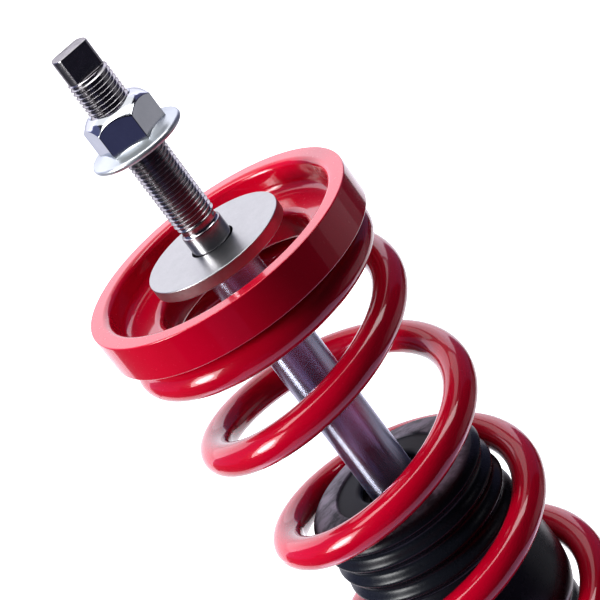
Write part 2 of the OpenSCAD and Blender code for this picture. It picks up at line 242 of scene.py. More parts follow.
class Finish:
    """A node-based material on one Principled shader. Keywords set values on the shader's own sockets."""

    def __init__(self, name, **values):
        self.material = bpy.data.materials.new(name)
        self.material.use_nodes = True
        self.tree = self.material.node_tree
        self.shader = self.tree.nodes["Principled BSDF"]
        for key, value in values.items():
            self.shader.inputs[key.replace("_", " ").title().replace("Ior", "IOR")].default_value = value

    def node(self, kind, links=(), values=(), **settings):
        """A shader node, with its linked sources, socket values and settings."""
        made = self.tree.nodes.new("ShaderNode" + kind)
        for key, value in settings.items():
            setattr(made, key, value)
        for socket, value in dict(values).items():
            made.inputs[socket].default_value = value
        for socket, source in dict(links).items():
            self.tree.links.new(source, made.inputs[socket])
        return made

    def place(self, stretch=(1, 1, 1)):
        """Object coordinates, scaled apart along each axis."""
        where = self.node("TexCoord").outputs["Object"]
        return self.node("Mapping", {"Vector": where}, {"Scale": stretch}).outputs["Vector"]

    def noise(self, scale, detail=4, roughness=0.6, stretch=(1, 1, 1)):
        """Smooth noise; scale counts its cells in a metre."""
        values = {"Scale": scale, "Detail": detail, "Roughness": roughness}
        return self.node("TexNoise", {"Vector": self.place(stretch)}, values).outputs["Fac"]

    def ramp(self, source, *stops):
        """Maps a value to colours or numbers, given as (position, value) stops."""
        made = self.node("ValToRGB", {"Fac": source})
        for _ in stops[2:]:
            made.color_ramp.elements.new(0.5)
        for element, (position, value) in zip(made.color_ramp.elements, stops):
            element.position = position
            element.color = (*value, 1) if hasattr(value, "__len__") else (value, value, value, 1)
        return made.outputs["Color"]

    def feed(self, socket, source):
        """Links a source to one of the shader's sockets."""
        self.tree.links.new(source, self.shader.inputs[socket])

    def bump(self, *layers, socket="Normal"):
        """Bump from (height, strength, depth in millimetres) layers."""
        normal = None
        for height, strength, depth in layers:
            links = {"Height": height}
            if normal:
                links["Normal"] = normal
            values = {"Strength": strength, "Distance": depth * MM}
            normal = self.node("Bump", links, values).outputs["Normal"]
        self.feed(socket, normal)


def red_paint():
    """Gloss crimson powder coat with a faint orange peel."""
    f = Finish("red_paint", specular_ior_level=0.15, coat_weight=1.0, coat_roughness=0.03, coat_ior=1.5)
    tone = f.noise(35, 3)
    f.feed("Base Color", f.ramp(tone, (0.3, (0.46, 0.0, 0.021)), (0.7, (0.51, 0.0, 0.027))))
    f.feed("Roughness", f.ramp(f.noise(900, 3), (0.3, 0.2), (0.7, 0.28)))
    f.bump((f.noise(260, 1), 0.02, 0.3))
    f.bump((f.noise(160, 1), 0.012, 0.3), socket="Coat Normal")
    return f.material


def chrome():
    """Hard chrome, ground and polished round the rod."""
    f = Finish("chrome", metallic=1.0, anisotropic=1.0, anisotropic_rotation=0.25)
    f.feed("Base Color", f.ramp(f.noise(18, 2), (0.3, (0.52, 0.54, 0.68)), (0.7, (0.60, 0.61, 0.75))))
    lines = f.noise(60, 2, 0.5, (1, 1, 16))
    f.feed("Roughness", f.ramp(lines, (0.3, 0.245), (0.7, 0.27)))
    f.feed("Tangent", f.node("Tangent", direction_type="RADIAL", axis="Z").outputs["Tangent"])
    f.bump((lines, 0.0015, 0.02))
    return f.material


def zinc_plate(flange_top):
    """Bright zinc with a blue passivation: smooth on the hexagon, matt on the pressed flange below it."""
    f = Finish("zinc_plate", specular_tint=(0.7, 0.72, 0.78, 1))
    height = f.node("SeparateXYZ", {"Vector": f.place()}).outputs["Z"]
    span = {"From Min": (flange_top - 1.2) * MM, "From Max": flange_top * MM}
    hexagon_share = f.node("MapRange", {"Value": height}, span).outputs["Result"]
    cloud = f.ramp(f.noise(130, 4), (0.3, 0.9), (0.7, 1))
    plate = f.ramp(hexagon_share, (0, (0.62, 0.655, 0.68)), (1, (0.62, 0.635, 0.665)))
    # Sockets 6 and 7 of a Mix node are its colours, and 0 is its factor.
    mixed = f.node("Mix", {6: cloud, 7: plate}, {0: 1}, data_type="RGBA", blend_type="MULTIPLY")
    f.feed("Base Color", mixed.outputs[2])
    f.feed("Metallic", f.ramp(hexagon_share, (0, 0.84), (1, 1)))
    f.feed("Roughness", f.ramp(hexagon_share, (0, 0.34), (1, 0.1)))
    f.bump((f.noise(600, 2), 0.02, 0.05))
    return f.material


def washer_plate():
    """Dull zinc on the flat washer, with a fine ground texture."""
    f = Finish("washer_plate", metallic=1.0)
    f.feed("Base Color", f.ramp(f.noise(200, 4), (0.3, (0.40, 0.405, 0.41)), (0.7, (0.44, 0.445, 0.45))))
    f.feed("Roughness", f.ramp(f.noise(1500, 3), (0.3, 0.3), (0.7, 0.42)))
    f.bump((f.noise(3000, 2), 0.08, 0.05))
    return f.material


def stud_steel():
    """Rolled thread and turned shoulder of the stud: darker oiled steel, brushed round the axis."""
    f = Finish("stud_steel", metallic=1.0, anisotropic=0.6, anisotropic_rotation=0.25)
    f.shader.inputs["Specular Tint"].default_value = (0.5, 0.5, 0.5, 1)
    f.feed("Base Color", f.ramp(f.noise(350, 4), (0.25, (0.38, 0.365, 0.38)), (0.7, (0.52, 0.505, 0.52))))
    lines = f.noise(110, 3, 0.5, (1, 1, 25))
    f.feed("Roughness", f.ramp(lines, (0.3, 0.18), (0.7, 0.21)))
    f.feed("Tangent", f.node("Tangent", direction_type="RADIAL", axis="Z").outputs["Tangent"])
    f.bump((lines, 0.004, 0.03))
    return f.material


def rubber(boot_top):
    """Satin moulded rubber. Grey dust lies in smears on the boot's top, round a cleaner ring at the rod."""
    f = Finish("rubber", specular_ior_level=0.32)
    # The reach from the axis runs from 0 to 1 over 1/30 m, which is just past the boot's edge.
    reach = f.node("VectorMath", {"Vector": f.place((30, 30, 0))}, operation="LENGTH").outputs["Value"]
    ledge = f.ramp(reach, (0.595, 0), (0.61, 1), (0.86, 1), (0.93, 0))
    height = f.node("SeparateXYZ", {"Vector": f.place()}).outputs["Z"]
    span = {"From Min": (boot_top - 3) * MM, "From Max": (boot_top - 2) * MM}
    on_top = f.node("MapRange", {"Value": height}, span).outputs["Result"]
    smear = f.ramp(f.noise(110, 5, 0.65, (1, 1.4, 1)), (0.36, 0.1), (0.6, 1))
    dusty = f.node("Math", {0: ledge, 1: smear}, operation="MULTIPLY").outputs["Value"]
    dust = f.node("Math", {0: dusty, 1: on_top}, operation="MULTIPLY").outputs["Value"]
    f.feed("Base Color", f.ramp(dust, (0, (0.012, 0.014, 0.020)), (1, (0.24, 0.22, 0.27))))
    side_gloss = f.ramp(f.noise(160, 6, 0.7), (0.3, 0.22), (0.7, 0.32))
    top_gloss = f.ramp(on_top, (0, 0), (1, 0.6))
    gloss = f.node("Math", {0: side_gloss, 1: top_gloss}, operation="MAXIMUM")
    f.feed("Roughness", gloss.outputs["Value"])
    f.bump((f.noise(900, 3), 0.05, 0.1), (f.noise(90, 3), 0.08, 0.4))
    return f.material


def satin_aluminium():
    """Satin anodised aluminium, turned."""
    f = Finish("satin_aluminium", metallic=1.0)
    f.feed("Base Color", f.ramp(f.noise(60, 3), (0.3, (0.62, 0.63, 0.65)), (0.7, (0.70, 0.71, 0.73))))
    lines = f.noise(140, 3, 0.6, (1, 1, 20))
    f.feed("Roughness", f.ramp(lines, (0.3, 0.26), (0.7, 0.38)))
    f.bump((lines, 0.1, 0.08))
    return f.material


def black_zinc():
    """Black zinc plate on the threaded tube."""
    f = Finish("black_zinc", metallic=0.7)
    f.feed("Base Color", f.ramp(f.noise(120, 4), (0.3, (0.022, 0.022, 0.025)), (0.7, (0.05, 0.05, 0.054))))
    f.feed("Roughness", f.ramp(f.noise(700, 4), (0.3, 0.28), (0.7, 0.44)))
    f.bump((f.noise(1500, 3), 0.08, 0.06))
    return f.material


def black_paint():
    """Satin black electro-coat on the welded bracket."""
    f = Finish("black_paint", coat_weight=0.25, coat_roughness=0.2)
    f.feed("Base Color", f.ramp(f.noise(90, 4), (0.3, (0.010, 0.010, 0.011)), (0.7, (0.018, 0.018, 0.02))))
    f.feed("Roughness", f.ramp(f.noise(260, 5), (0.3, 0.32), (0.7, 0.48)))
    f.bump((f.noise(650, 3), 0.12, 0.15))
    return f.material


def bare_steel(name, dark, light, low, high):
    """Turned or pressed metal of the damper's inner parts."""
    f = Finish(name, metallic=1.0)
    f.feed("Base Color", f.ramp(f.noise(150, 4), (0.3, dark), (0.7, light)))
    f.feed("Roughness", f.ramp(f.noise(700, 4, 0.6, (1, 1, 8)), (0.3, low), (0.7, high)))
    f.bump((f.noise(1800, 3, 0.6, (1, 1, 4)), 0.08, 0.06))
    return f.material


def moulded(name, dark, light, grain):
    """Moulded plastic or foam with a fine grain."""
    f = Finish(name)
    f.feed("Base Color", f.ramp(f.noise(120, 4), (0.3, dark), (0.7, light)))
    f.feed("Roughness", f.ramp(f.noise(400, 4), (0.3, 0.5), (0.7, 0.75)))
    f.bump((f.noise(grain, 4), 0.3, 0.2))
    return f.material


FLANGE_TOP = 4.6  # height of the nut's flange, where its hexagon starts

RED = red_paint()
CHROME = chrome()
ZINC = zinc_plate(extent("flange_nut")[0].z + FLANGE_TOP)
WASHER = washer_plate()
STUD = stud_steel()
RUBBER = rubber(extent("dust_boot")[1].z)
ALUMINIUM = satin_aluminium()
BLACK_ZINC = black_zinc()
BLACK_PAINT = black_paint()
STEEL = bare_steel("turned_steel", (0.42, 0.42, 0.43), (0.55, 0.55, 0.56), 0.22, 0.38)
SINTERED = bare_steel("sintered_iron", (0.16, 0.155, 0.15), (0.26, 0.25, 0.24), 0.45, 0.65)
BRONZE = bare_steel("bronze", (0.42, 0.27, 0.13), (0.56, 0.38, 0.2), 0.3, 0.45)
PTFE = moulded("filled_ptfe", (0.5, 0.45, 0.3), (0.62, 0.56, 0.4), 900)
FOAM = moulded("foam", (0.018, 0.018, 0.019), (0.035, 0.035, 0.036), 1500)

# Damper internals keep their CAD shape and take a finish by slot.
INTERNALS = {
    "rebound_bumper": RUBBER,
    "rebound_stop": STEEL,
    "compression_shims": STEEL,
    "damper_piston": SINTERED,
    "piston_band": PTFE,
    "rebound_shims": STEEL,
    "piston_nut": STEEL,
    "inner_tube": STEEL,
    "base_valve": SINTERED,
    "base_valve_disc": STEEL,
    "base_valve_rivet": STEEL,
    "rod_guide": SINTERED,
    "guide_bush": BRONZE,
    "rod_seal": RUBBER,
    "gland_o_ring": RUBBER,
    "gland_nut": STEEL,
    "bump_stop": FOAM,
}


def finish_internals():
    """Gives each inner CAD node its finish."""
    for node, finish in INTERNALS.items():
        mesh = frame["nodes"][node].data
        mesh.materials.clear()
        mesh.materials.append(finish)


# ---------------------------------------------------------------- rod, washer and nut

# The rod's turned ends: their radii, the drive flats at the tip, the shoulder's top and the thread's start.
STUD_R = 7.0
SPIGOT_R = 6.0
DRIVE_R = 6.35
DRIVE_HALF_AF = 3.9
DRIVE_TURN = math.radians(17)
DRIVE_LEN = 9.0
SHOULDER_TOP = 6.4
GROOVE_R = 6.3
THREAD_LOW = 8.4
CHAMFER = 0.6


def flat_corners():
    """Angles where the drive flats meet the round."""
    reach = math.acos(DRIVE_HALF_AF / DRIVE_R)
    normals = [DRIVE_TURN + math.pi / 2, DRIVE_TURN - math.pi / 2]
    soft = math.radians(1.5)
    return [n + s * reach + d for n in normals for s in (-1, 1) for d in (-soft, 0, soft)]


def drive_radius(inset=0.0):
    """Radius round the drive flats as a function of the angle."""

    def radius(a):
        facing = abs(math.sin(a - DRIVE_TURN))
        flat = (DRIVE_HALF_AF - inset) / facing if facing > 0.1 else 100
        corner = DRIVE_R - max(inset, 0)
        return min(corner, flat) - 0.12 * max(0, 1 - abs(corner - flat) / 0.3)

    return radius


def make_piston_rod():
    """One turned piece: the piston's threaded spigot, the chromed rod and the stud with its flats."""
    rod_r, low, tip = levels("piston_rod")
    step = extent("stop_washer")[0].z
    spigot_top = extent("compression_shims")[1].z
    nut_low = extent("piston_nut")[0].z
    angles = turn_angles(96, flat_corners())
    thread = Thread(
        low=THREAD_LOW, high=tip - DRIVE_LEN, pitch=1.5, crest=STUD_R, depth=0.86, run_out=1.3,
        chamfer=STUD_R - DRIVE_R)
    spigot = Thread(
        low=low + 0.8, high=nut_low + 11, pitch=1.25, crest=SPIGOT_R, depth=0.72, run_out=1.0, chamfer=0.75)
    end = skin([
        ring(angles, 0, low), ring(angles, spigot.crest - spigot.depth, low),
        ring(angles, spigot.crest - spigot.depth, spigot.low)])
    rod = skin([
        ring(angles, lambda a: spigot.radius(a, spigot.high), spigot.high),
        ring(angles, SPIGOT_R, spigot.high + 0.7),
        ring(angles, SPIGOT_R, spigot_top), ring(angles, rod_r - 0.4, spigot_top),
        ring(angles, rod_r, spigot_top + 0.4), ring(angles, rod_r, step - 0.5),
        ring(angles, rod_r - 0.5, step), ring(angles, STUD_R, step),
        ring(angles, STUD_R, SHOULDER_TOP - 0.35), ring(angles, STUD_R - 0.1, SHOULDER_TOP - 0.1),
        ring(angles, STUD_R - 0.35, SHOULDER_TOP), ring(angles, GROOVE_R, SHOULDER_TOP + 0.4),
        ring(angles, thread.crest - thread.depth, SHOULDER_TOP + 0.9),
        ring(angles, thread.crest - thread.depth, THREAD_LOW)])
    drive = skin([
        ring(angles, lambda a: thread.radius(a, thread.high), thread.high),
        ring(angles, drive_radius(-0.3), thread.high + 0.02),
        ring(angles, drive_radius(-0.12), thread.high + 0.1),
        ring(angles, drive_radius(), thread.high + 0.3),
        ring(angles, drive_radius(), tip - CHAMFER), ring(angles, drive_radius(0.16), tip - 0.25),
        ring(angles, drive_radius(CHAMFER), tip), ring(angles, 0, tip)])
    mesh = together(end, spigot.band(angles), rod, thread.band(angles), drive)
    piece = solid("piston_rod_visual", mesh, "rod_assembly", CHROME, ["piston_rod"])
    piece.data.materials.append(STUD)
    for face in piece.data.polygons:
        if face.center.z > (step + 0.5) * MM:
            face.material_index = 1


def make_stop_washer():
    outer, low, high = levels("stop_washer")
    bore = STUD_R + 0.55
    outline = rounded([
        (bore, low, 0.25), (outer, low, 0.45), (outer, high, 0.35), (bore, high, 0.25)])
    solid("stop_washer_visual", revolve(outline), "rod_assembly", WASHER, ["stop_washer"])


NUT_TURN = math.radians(46.3)
NUT_HALF_AF = 10.5


def hexagon(angle_turn, half_af, corner_fillet):
    """A hexagon with rounded corners, as the sorted angles of its points and a table of their radii."""
    side_points = 9
    corner_r = half_af / math.cos(math.radians(30))
    corners = []
    for i in range(6):
        a = angle_turn + TURN * i / 6
        corners.append((corner_r * math.cos(a), corner_r * math.sin(a), corner_fillet))
    outline = rounded(corners)
    points = []
    for i, here in enumerate(outline):
        ahead = outline[(i + 1) % len(outline)]
        parts = side_points if (ahead - here).length > corner_r / 2 else 1
        points += [here.lerp(ahead, k / parts) for k in range(parts)]
    polar = sorted((math.atan2(p.y, p.x) % TURN, p.length) for p in points)
    return [a for a, _ in polar], dict(polar)


def make_flange_nut():
    """The nut's bore, the underside and round rim of its flange, its hexagon, and the chamfer over that."""
    flange_r, low, high = levels("flange_nut")
    angles, hex_radius = hexagon(NUT_TURN, NUT_HALF_AF, 0.35)
    bore, rim_r, face_r = STUD_R + 0.05, 15, 7.6
    side = lambda a: hex_radius[a]
    shrunk = lambda a: hex_radius[a] - 0.16
    flare = lambda a, r: low + 2.15 + 0.16 * (rim_r - r) + 0.045 * (rim_r - r) ** 2
    chamfer = lambda a, r: high - 0.35 * (r - face_r) - 0.105 * (r - face_r) ** 2
    loops = [
        ring(angles, bore, low + 0.8), ring(angles, bore + 0.8, low), ring(angles, flange_r - 1.3, low)]
    rim = arc((flange_r - 1.1, low + 1.08), 1.08, -80, 80, 12)
    loops += [ring(angles, r, z) for r, z in rim]
    loops += [
        ring(angles, 14.2, flare), ring(angles, 13.5, flare), ring(angles, 12.9, flare),
        ring(angles, lambda a: 12.5 - 0.5 * (12.1 - hex_radius[a]), flare),
        ring(angles, lambda a: hex_radius[a] + 0.1, flare),
        ring(angles, side, lambda a, r: flare(a, r) + 0.1),
        ring(angles, side, lambda a, r: chamfer(a, r) - 0.2),
        ring(angles, lambda a: hex_radius[a] - 0.05, lambda a, r: chamfer(a, r) - 0.08),
        ring(angles, shrunk, chamfer),
        ring(angles, lambda a: 9.9 + 0.2 * (hex_radius[a] - NUT_HALF_AF), chamfer),
        ring(angles, 9.3, chamfer), ring(angles, 8.6, chamfer), ring(angles, 8.0, chamfer),
        ring(angles, bore + 0.55, high), ring(angles, bore, high - 0.5)]
    mesh = skin(loops, closed=True)
    solid("flange_nut_visual", mesh, "rod_assembly", ZINC, ["flange_nut"])


# ---------------------------------------------------------------- spring and its seats


def make_upper_seat():
    outer, low, high = levels("upper_spring_seat")
    rim, hub, bore = outer - 6.8, 33.0, 27.4
    wall_low = extent("coil_spring")[1].z
    ledge = high - 10.0
    outline = rounded([
        (rim, high, 2.2), (outer, high, 0.45), (outer, wall_low, 0.7), (hub, wall_low, 0.6),
        (hub, low, 1.4), (bore, low, 1.4), (bore, ledge, 2.4), (rim, ledge, 3.5)], math.radians(9))
    solid("upper_spring_seat_visual", revolve(outline, 256), "upper_seat", RED,
          ["upper_spring_seat"])


WIRE_R = 5.6
# How much of the wire the ground ends take off, and the angle of the wire's top end.
SPRING_GROUND = 0.75
SPRING_START = math.radians(79.9)
# Pitch in millimetres a turn, at turns counted down from the wire's top end.
SPRING_PITCH = [(0, 6), (0.6, 6), (1.2, 41.3), (5.2, 45.4), (5.8, 6), (6.4, 6)]


def pitch_and_drop(turns):
    """The spring's pitch at that many turns from its top end, and how far its wire has gone down."""
    drop = 0
    for (u0, p0), (u1, p1) in zip(SPRING_PITCH, SPRING_PITCH[1:]):
        end = min(turns, u1)
        pitch = p0 + (p1 - p0) * (end - u0) / (u1 - u0)
        drop += (p0 + pitch) / 2 * (end - u0)
        if turns <= u1:
            break
    return pitch, drop


def make_coil_spring():
    outer, low, high = levels("coil_spring")
    coil_r = outer - WIRE_R
    turns = SPRING_PITCH[-1][0]
    steps, sides, end_fillet = 96, 32, 0.7

    def wire_loop(turn, radius, ahead_by=0.0):
        """A loop round the wire. It is cut level where the closed ends are ground flat."""
        pitch, drop = pitch_and_drop(turn)
        a = SPRING_START - TURN * turn
        lean = math.atan2(pitch, TURN * coil_r)
        out = Vector((math.cos(a), math.sin(a), 0))
        level = Vector((math.sin(a), -math.cos(a), 0))
        ahead = level * math.cos(lean) - Vector((0, 0, math.sin(lean)))
        up = Vector((0, 0, math.cos(lean))) + level * math.sin(lean)
        centre = out * coil_r + Vector((0, 0, high - WIRE_R + SPRING_GROUND - drop)) + ahead * ahead_by
        points = []
        for i in range(sides):
            b = TURN * i / sides
            p = centre + (out * math.cos(b) + up * math.sin(b)) * radius
            points.append((p.x, p.y, min(high, max(low, p.z))))
        return points

    count = round(turns * steps)
    loops = [wire_loop(0, 0, -end_fillet), wire_loop(0, WIRE_R - end_fillet, -end_fillet),
             wire_loop(0, WIRE_R - end_fillet * 0.3, -end_fillet * 0.7)]
    loops += [wire_loop(turns * i / count, WIRE_R) for i in range(count + 1)]
    loops += [wire_loop(turns, WIRE_R - end_fillet * 0.3, end_fillet * 0.7),
              wire_loop(turns, WIRE_R - end_fillet, end_fillet), wire_loop(turns, 0, end_fillet)]
    piece = solid("coil_spring_visual", skin(loops), "upper_seat", RED, ["coil_spring"], 50)
    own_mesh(piece)


def make_lower_seat():
    outer, low, high = levels("lower_spring_seat")
    ledge = extent("coil_spring")[0].z
    bore, pilot, neck, taper = 26.3, 32.3, 36.5, 39.0
    rim_low = ledge - 4.5
    outline = rounded([
        (bore, high, 0.5), (pilot, high, 1.3), (pilot, ledge, 0.5), (outer, ledge, 0.8),
        (outer, rim_low, 1.0), (taper, rim_low, 1.2), (neck, ledge - 7.0, 0.8), (neck, low, 0.5),
        (bore, low, 0.5)])
    solid("lower_spring_seat_visual", revolve(outline, 256), "lower_seat", RED,
          ["lower_spring_seat"])


def make_slotted_ring(node, body, grooves):
    """A spanner ring on the tube's thread, with slots, chamfers and turned grooves round its edge."""
    outer, low, high = levels(node)
    bore, slots, slot_half, slot_floor = 26.05, 6, 3.5, 33.0
    arc_points, floor_points, corner = 14, 4, 0.5

    def section(inset):
        """The ring's outline in plan, with its edge moved in."""
        points = []
        r, half, floor = outer - inset, slot_half + inset, slot_floor - inset
        lip = math.asin((half + corner) / r)
        for i in range(slots):
            middle = TURN * (i + 0.5) / slots
            start, end = middle - TURN / slots + lip, middle - lip
            points += [(r * math.cos(a), r * math.sin(a))
                       for a in (start + (end - start) * k / arc_points for k in range(arc_points + 1))]
            c, s = math.cos(middle), math.sin(middle)
            local = [(r - corner, -half)]
            local += [(floor, -half + 2 * half * k / floor_points) for k in range(floor_points + 1)]
            local += [(r - corner, half)]
            points += [(x * c - y * s, x * s + y * c) for x, y in local]
        return points

    edge = section(0)
    first = math.atan2(edge[0][1], edge[0][0])
    inner = [first + TURN * i / len(edge) for i in range(len(edge))]
    bore_loop = lambda r, z: [(r * math.cos(a), r * math.sin(a), z) for a in inner]
    edge_loop = lambda inset, z: [(x, y, z) for x, y in section(inset)]
    loops = [bore_loop(bore + 0.7, low), edge_loop(1.2, low), edge_loop(0.25, low + 0.35),
             edge_loop(0, low + 1.0)]
    for level in grooves:
        loops += [edge_loop(0, low + level - 0.7), edge_loop(0.7, low + level - 0.25),
                  edge_loop(0.7, low + level + 0.25), edge_loop(0, low + level + 0.7)]
    loops += [edge_loop(0, high - 1.0), edge_loop(0.25, high - 0.35), edge_loop(1.2, high),
              bore_loop(bore + 0.7, high), bore_loop(bore, high - 0.7), bore_loop(bore, low + 0.7)]
    solid(node + "_visual", skin(loops, closed=True), body, ALUMINIUM, [node])


# ---------------------------------------------------------------- boot, tube and bracket


BOOT_HOLE_R = 11.5
BOOT_RIDGE_R = 32.1
BOOT_GROOVE_R = 30.0
BOOT_FOLD_PITCH = 7.15
BOOT_FOLDS = 4


def boot_top(high):
    """The boot's top from its hole outward: a shallow dish, a step at its edge and a falling shoulder."""
    lip = [(0, 1.9), (0.3, 1.1), (1.0, 0.7), (2, 0.6)]
    dish = [(19.6, 0.75), (19.9, 0.65), (20.2, 0.1), (20.6, 0)]
    shoulder = [(22.5, 0.12), (25.5, 0.55), (28.2, 1.3), (30.2, 2.4), (31.5, 3.7)]
    outline = [(BOOT_HOLE_R + out, down) for out, down in lip] + dish + shoulder
    return [(r, high - down) for r, down in outline]


def boot_folds(first):
    """The folds from the first ridge down to the middle of the last groove."""
    steps, swing = 20, (BOOT_RIDGE_R - BOOT_GROOVE_R) / 2
    points = []
    for i in range(steps * BOOT_FOLDS - steps // 2 + 1):
        share = i / steps
        crest = ((1 + math.cos(TURN * share)) / 2) ** 1.2
        points.append((BOOT_GROOVE_R + 2 * swing * crest, first - BOOT_FOLD_PITCH * share))
    return points


def boot_skirt(base):
    """The smooth skirt below the folds, which swells, narrows to a waist and ends in a cuff."""
    skirt = [(30.35, 0.8), (30.9, 2.4), (31.4, 5), (31.8, 9), (32.2, 14), (32.7, 19), (33, 23), (33, 27),
             (32.7, 31), (32.1, 34.5), (31.2, 37), (29.6, 39), (28.7, 40.2), (28.6, 41.2), (29, 42.4),
             (29.4, 44), (29.3, 47.5), (28.7, 49.5), (27.6, 51.5), (26.8, 53.6)]
    return [(r, base - down) for r, down in skirt]


def make_dust_boot():
    _, low, high = levels("dust_boot")
    folds = boot_folds(high - 5.0)
    outside = boot_top(high) + folds + boot_skirt(folds[-1][1]) + [(26.4, low + 0.4), (25.9, low)]
    inside = [(25.1, low), (25.1, low + 12), (26.5, low + 15), (27.6, low + 20), (27.6, high - 10),
              (25.5, high - 6.4), (23, high - 5.2), (BOOT_HOLE_R + 1.2, high - 5),
              (BOOT_HOLE_R + 0.4, high - 4.7), (BOOT_HOLE_R, high - 4)]
    mesh = revolve(outside + inside)
    solid("dust_boot_visual", mesh, "strut_body", RUBBER, ["dust_boot"], 60)


TUBE_R = 25.4


def make_strut_tube():
    _, low, high = levels("strut_tube")
    thread_r, bore, top_r = 26.0, 22.4, 25.0
    thread_low, thread_high = -296.0, -194.0
    angles = turn_angles(144)
    thread = Thread(
        low=thread_low, high=thread_high, pitch=2.0, crest=thread_r, depth=1.2, run_out=2.5, chamfer=1.1)
    root = thread_r - thread.depth
    shell = skin([
        ring(angles, lambda a: thread.radius(a, thread_high), thread_high),
        ring(angles, top_r, thread_high + 0.3), ring(angles, top_r, high - 0.8),
        ring(angles, top_r - 0.8, high), ring(angles, bore + 0.3, high), ring(angles, bore, high - 0.3),
        ring(angles, bore, low + 0.3), ring(angles, bore + 0.3, low), ring(angles, TUBE_R - 0.4, low),
        ring(angles, TUBE_R, low + 0.4), ring(angles, TUBE_R, thread_low - 1.2),
        ring(angles, root, thread_low - 0.5), ring(angles, root, thread_low)])
    mesh = together(thread.band(angles), shell)
    solid("strut_tube_visual", mesh, "strut_body", BLACK_ZINC, ["strut_tube"])


def make_base_cap():
    _, low, high = levels("base_cap")
    tube_end = extent("strut_tube")[0].z
    outer, inner, foot, dimple, dimple_depth = 22.3, 21.2, 17.5, 9.0, 1.2
    outline = rounded([
        (0, high), (outer, high, 0.5), (outer, tube_end + 0.4), (inner, tube_end - 0.5, 1.0),
        (foot, low, 3.0), (dimple, low, 2.0), (dimple - 1.5, low + dimple_depth, 2.0),
        (0, low + dimple_depth)])
    solid("base_cap_visual", revolve(outline, 160), "strut_body", BLACK_PAINT, ["base_cap"])


def offset_loop(loop, amount):
    """A loop of 2-D points moved to its left by an amount."""
    moved = []
    for i, here in enumerate(loop):
        back, ahead = loop[i - 1], loop[(i + 1) % len(loop)]
        a, b = (here - back).normalized(), (ahead - here).normalized()
        left = Vector((-a.y - b.y, a.x + b.x))
        scale = 2 / max(0.6, left.length_squared)
        moved.append(here + left * scale * amount)
    return moved


def circle(x, y, radius):
    """A clockwise circle, which as a hole has the plate on its left."""
    count = 40
    return [Vector((x + radius * math.cos(-TURN * i / count), y + radius * math.sin(-TURN * i / count)))
            for i in range(count)]


def with_folds(outline, folds):
    """An outline with points added where it crosses the folds, which are values of its first coordinate."""
    loop = []
    for i, here in enumerate(outline):
        ahead = outline[(i + 1) % len(outline)]
        low, high = sorted((here.x, ahead.x))
        cuts = [s for s in folds if low + 0.05 < s < high - 0.05]
        cuts.sort(reverse=here.x > ahead.x)
        loop.append(here)
        loop += [here.lerp(ahead, (s - here.x) / (ahead.x - here.x)) for s in cuts]
    return loop


def round_edge(edge, thickness):
    """A plate's edge with two quarter rounds, as (inset, height over the middle) from face to face."""
    profile = [(edge * (1 - math.sin(a)), thickness / 2 - edge * (1 - math.cos(a)))
               for a in (math.pi / 2 * k / 3 for k in range(4))]
    return profile + [(inset, -height) for inset, height in reversed(profile)]


def inside_ring(p, round_ring):
    """True where a point lies well inside a round ring of 2-D points."""
    middle = sum(round_ring, Vector((0, 0))) / len(round_ring)
    return (p - middle).length < (round_ring[0] - middle).length * 0.995


def plate(outline, holes, thickness, edge, bend, folds=()):
    """A sheet-metal plate with rounded edges, from a flat drawing in counter-clockwise (s, t) points.

    bend takes (s, t, n) to space, where n is the height over the plate's middle. folds are the values of s
    where the plate bends, and its flat faces are cut there so that they bend with it."""
    loop = with_folds(outline, folds)
    profile = round_edge(edge, thickness)
    points, faces = [], []
    flat, flat_edges, face_rims = [], [], []
    for rim in [loop] + holes:
        inset_rims = [offset_loop(rim, inset) for inset, _ in profile]
        start, count = len(points), len(rim)
        for rim_points, (_, height) in zip(inset_rims, profile):
            points += [(p.x, p.y, height) for p in rim_points]
        for k in range(len(profile) - 1):
            for i in range(count):
                j = (i + 1) % count
                a, b = start + k * count, start + (k + 1) * count
                faces.append((a + i, a + j, b + j, b + i))
        first = len(flat)
        flat += inset_rims[0]
        face_rims.append(inset_rims[0])
        flat_edges += [(first + i, first + (i + 1) % count) for i in range(count)]
    for s in folds:
        pair = [i for i, p in enumerate(face_rims[0]) if abs(p.x - s) < 1e-3]
        if len(pair) == 2:
            flat_edges.append(tuple(pair))
    found, _, triangles, *_ = delaunay_2d_cdt(flat, flat_edges, [], 1, 1e-4)
    for side in (1, -1):
        start = len(points)
        points += [(p.x, p.y, side * profile[0][1]) for p in found]
        for triangle in triangles:
            centre = sum((found[i] for i in triangle), Vector((0, 0))) / 3
            if not any(inside_ring(centre, hole_rim) for hole_rim in face_rims[1:]):
                faces.append(tuple(start + i for i in triangle))
    return [tuple(bend(*p)) for p in points], faces


def bead(path, radius, closed=False):
    """A weld bead along a path of 3-D points, with the small waves of its runs."""
    path = [Vector(p) for p in path]
    ripple, sides = 2.6, 12
    loops, length = [], 0
    for i, here in enumerate(path):
        back = path[i - 1] if closed or i else here
        ahead = path[(i + 1) % len(path)] if closed or i < len(path) - 1 else here
        length += (here - path[i - 1]).length if i else 0
        along = (ahead - back).normalized()
        across = along.cross(Vector((0.3, 0.2, 1))).normalized()
        lift = across.cross(along)
        end = 1 if closed else min(1, 0.35 + 3 * min(i, len(path) - 1 - i) / len(path))
        r = radius * end * (1 + 0.08 * math.sin(TURN * length / ripple))
        turns = [TURN * k / sides for k in range(sides)]
        loops.append([tuple(here + (across * math.cos(b) + lift * math.sin(b)) * r) for b in turns])
    if not closed:
        loops = [[tuple(path[0])] * sides] + loops + [[tuple(path[-1])] * sides]
    return skin(loops, closed=closed)


